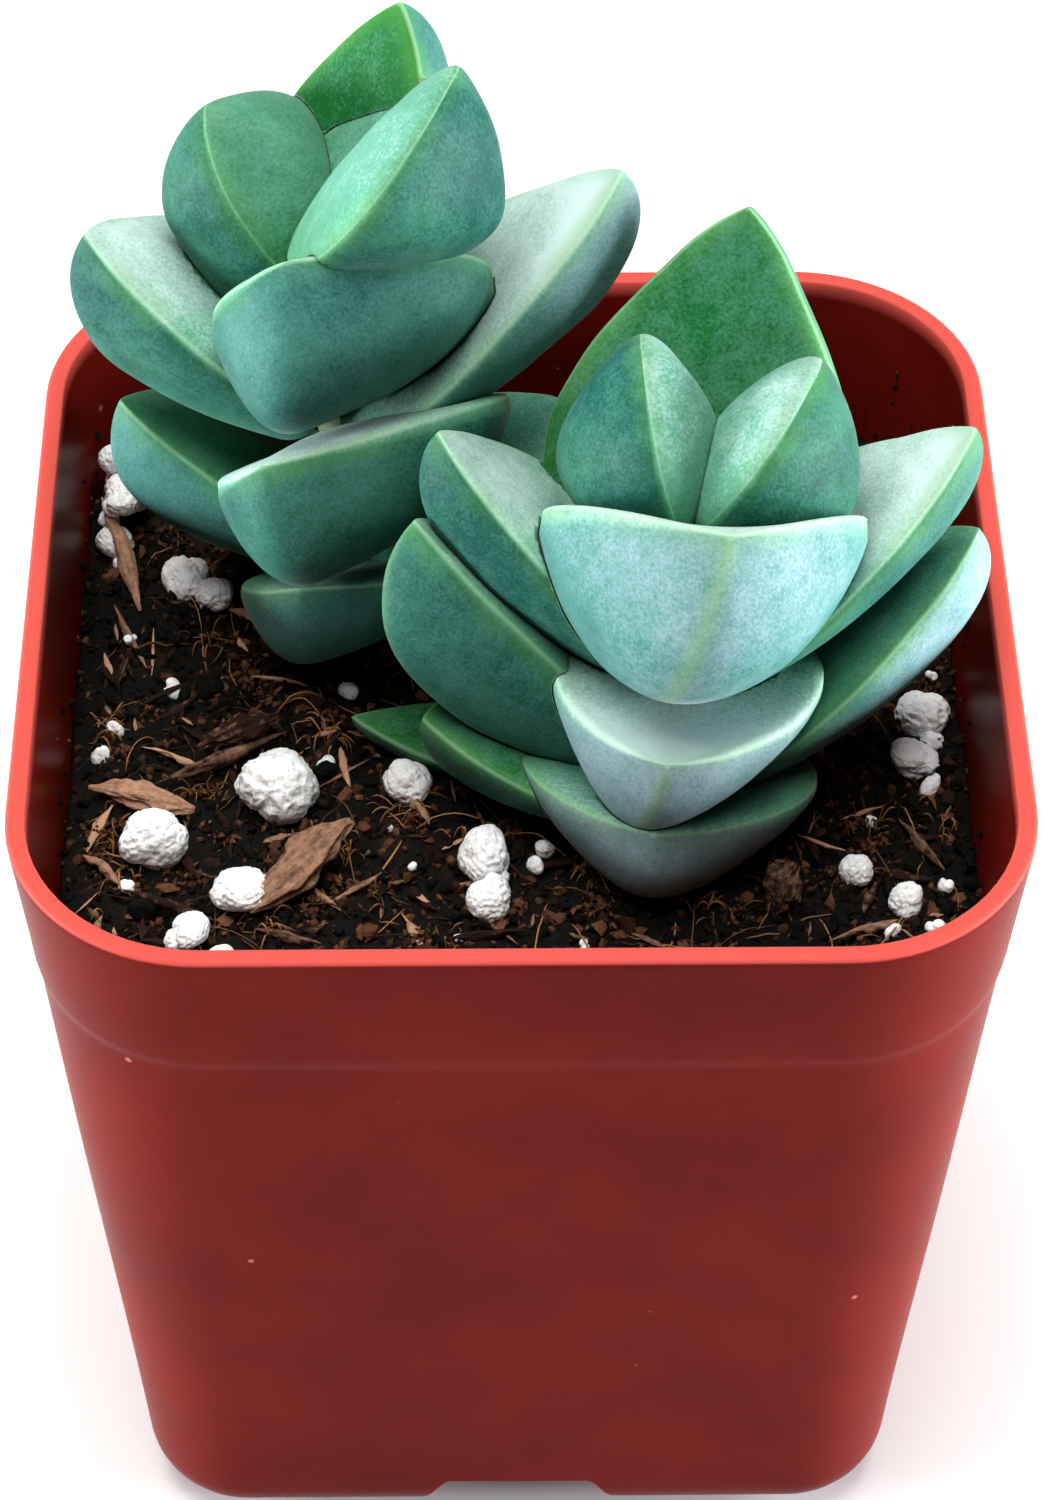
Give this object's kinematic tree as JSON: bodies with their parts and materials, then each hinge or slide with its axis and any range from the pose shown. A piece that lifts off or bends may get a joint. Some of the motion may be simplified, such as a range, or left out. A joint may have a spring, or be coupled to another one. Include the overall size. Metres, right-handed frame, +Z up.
{
  "type": "potted moonglow crassula",
  "caption": "Square tapered nursery pot filled with perlite-flecked soil, holding a pair of thick-leaved moonglow crassula rosettes.",
  "frame": {"origin": "middle of the pot's foot, on the surface that it stands on", "axes": "+Z up; -Y is the side of the pot that faces the viewer; +X to the viewer's right"},
  "size_m": [0.057, 0.057, 0.0922],
  "materials": {
    "pot": "satin moulded polypropylene",
    "soil": "loose damp peat, matt",
    "stem": "dull green stalk",
    "leaf": "velvety bloom",
    "perlite": "matt, porous",
    "bark": "rough, weathered"
  },
  "bodies": {
    "root": {"pot": "pot", "stem_front": "stem", "stem_back": "stem", "leaf_front_heart_left": "leaf", "leaf_front_heart_right": "leaf", "leaf_front_upper_front": "leaf", "leaf_front_upper_back": "leaf", "leaf_front_middle_left": "leaf", "leaf_front_middle_right": "leaf", "leaf_front_lower_front": "leaf", "leaf_front_lower_back": "leaf", "leaf_front_low_left": "leaf", "leaf_front_low_right": "leaf", "leaf_front_bottom_front": "leaf", "leaf_front_bottom_back": "leaf", "leaf_front_ground_left": "leaf", "leaf_front_ground_tip": "leaf", "leaf_back_upper_front": "leaf", "leaf_back_heart_left": "leaf", "leaf_back_heart_right": "leaf", "leaf_back_inner_back": "leaf", "leaf_back_upper_back": "leaf", "leaf_back_middle_left": "leaf", "leaf_back_middle_right": "leaf", "leaf_back_lower_front": "leaf", "leaf_back_lower_back": "leaf", "leaf_back_low_left": "leaf", "leaf_back_low_right": "leaf", "leaf_back_bottom_front": "leaf", "leaf_back_bottom_back": "leaf", "perlite_1": "perlite", "perlite_2": "perlite", "perlite_3": "perlite", "perlite_4": "perlite", "perlite_5": "perlite", "perlite_6": "perlite", "perlite_7": "perlite", "perlite_8": "perlite", "perlite_9": "perlite", "perlite_10": "perlite", "perlite_11": "perlite", "perlite_12": "perlite", "perlite_13": "perlite", "perlite_14": "perlite", "perlite_15": "perlite", "perlite_16": "perlite", "perlite_17": "perlite", "bark_chip_1": "bark", "bark_chip_2": "bark", "bark_chip_3": "bark", "bark_chip_4": "bark", "bark_chip_5": "bark", "bark_chip_6": "bark", "soil": "soil"}
  },
  "joints": []
}
